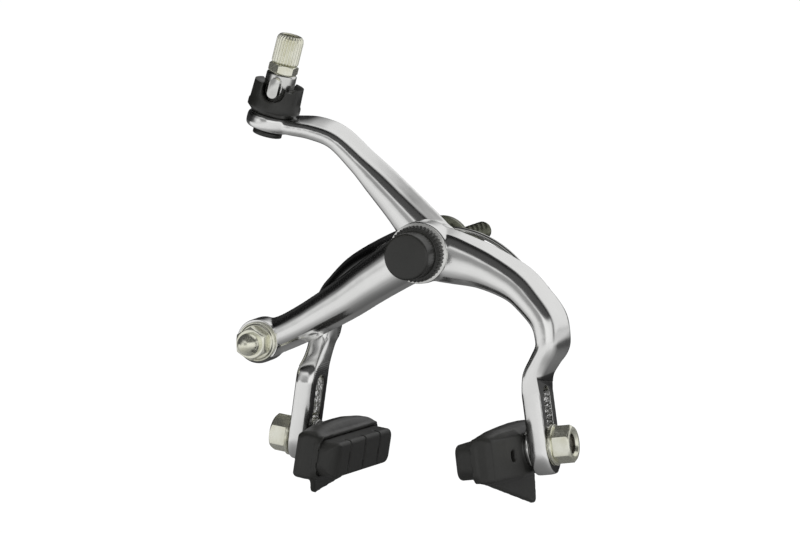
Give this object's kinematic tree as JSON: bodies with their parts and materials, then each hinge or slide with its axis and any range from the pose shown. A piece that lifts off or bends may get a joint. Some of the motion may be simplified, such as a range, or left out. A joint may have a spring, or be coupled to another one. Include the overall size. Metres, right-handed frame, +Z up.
{
  "type": "caliper brake",
  "caption": "Side-pull bicycle caliper brake: two polished forged arms on a centre bolt, brake shoes in slotted ends, a cable anchor and a barrel adjuster with quick release.",
  "frame": {"origin": "on the axis of the centre bolt, at the face that meets the fork crown", "axes": "+Y along the centre bolt to the rear, +X to the right seen from the front, +Z up"},
  "size_m": [0.1076, 0.0787, 0.1419],
  "materials": {
    "polished_alloy": "polished",
    "pale_zinc": "zinc plated, slightly yellow",
    "olive_steel": "dark zinc plate",
    "bright_steel": "bright",
    "black_plastic": "satin",
    "shoe_plastic": "satin",
    "pad_rubber": "moulded rubber"
  },
  "bodies": {
    "mounting": {"centre_bolt": "olive_steel", "mounting_washer": "olive_steel", "spring_bracket": "olive_steel", "return_spring": "bright_steel", "rear_pivot_washer": "bright_steel", "middle_pivot_washer": "bright_steel", "front_pivot_washer": "bright_steel", "pivot_nut": "pale_zinc", "pivot_lock_nut": "pale_zinc", "centre_cap": "black_plastic"},
    "front_arm": {"front_arm": "polished_alloy", "anchor_bolt": "pale_zinc", "anchor_washer": "pale_zinc", "anchor_nut": "pale_zinc"},
    "rear_arm": {"rear_arm": "polished_alloy", "release_cup": "black_plastic", "retaining_ring": "black_plastic"},
    "right_shoe_washers": {"right_inner_washer": "bright_steel", "right_domed_washer": "pale_zinc", "right_cupped_washer": "pale_zinc"},
    "right_shoe": {"right_shoe_holder": "shoe_plastic", "right_brake_pad": "pad_rubber", "right_shoe_stud": "pale_zinc", "right_shoe_nut": "pale_zinc"},
    "left_shoe_washers": {"left_inner_washer": "bright_steel", "left_domed_washer": "pale_zinc", "left_cupped_washer": "pale_zinc"},
    "left_shoe": {"left_shoe_holder": "shoe_plastic", "left_brake_pad": "pad_rubber", "left_shoe_stud": "pale_zinc", "left_shoe_nut": "pale_zinc"},
    "cable_seat": {"cable_seat": "bright_steel"},
    "lock_nut": {"barrel_lock_nut": "pale_zinc"},
    "barrel": {"adjusting_barrel": "pale_zinc"}
  },
  "joints": [
    {"name": "front_arm_pivot", "type": "hinge", "parent": "mounting", "child": "front_arm", "pos_m": [0, 0, 0], "axis": [0, 1, 0], "range_deg": [0, 8], "stiffness_Nm_per_rad": 3, "springref_deg": -6.88, "deforming": ["return_spring"]},
    {"name": "rear_arm_pivot", "type": "hinge", "parent": "mounting", "child": "rear_arm", "pos_m": [0, 0, 0], "axis": [0, 1, 0], "range_deg": [-8, 0], "stiffness_Nm_per_rad": 3, "springref_deg": 6.88, "deforming": ["return_spring"]},
    {"name": "right_shoe_slide", "type": "slide", "parent": "front_arm", "child": "right_shoe_washers", "axis": [-0.1392, 0, 0.9903], "range_m": [-0.0018, 0.01]},
    {"name": "right_shoe_turn", "type": "hinge", "parent": "right_shoe_washers", "child": "right_shoe", "pos_m": [0.0384, -0.018, -0.05682], "axis": [0.9903, 0, 0.1392], "range_deg": [-6, 6]},
    {"name": "left_shoe_slide", "type": "slide", "parent": "rear_arm", "child": "left_shoe_washers", "axis": [0.1392, 0, 0.9903], "range_m": [0, 0.0118]},
    {"name": "left_shoe_turn", "type": "hinge", "parent": "left_shoe_washers", "child": "left_shoe", "pos_m": [-0.03865, -0.018, -0.0586], "axis": [-0.9903, 0, 0.1392], "range_deg": [-6, 6]},
    {"name": "release_lift", "type": "slide", "parent": "rear_arm", "child": "cable_seat", "axis": [0.2588, 0, 0.9659], "range_m": [0, 0.006]},
    {"name": "barrel_travel", "type": "slide", "parent": "cable_seat", "child": "lock_nut", "axis": [0.2588, 0, 0.9659], "range_m": [0, 0.005]},
    {"name": "barrel_turn", "type": "hinge", "parent": "lock_nut", "child": "barrel", "pos_m": [-0.04703, -0.012, 0.05445], "axis": [0.2588, 0, 0.9659], "range_deg": [0, 1800]}
  ],
  "couplings": [
    {"joint": "rear_arm_pivot", "follows": "front_arm_pivot", "ratio": -1},
    {"joint": "barrel_turn", "follows": "barrel_travel", "rad_per_m": 6283.2}
  ]
}
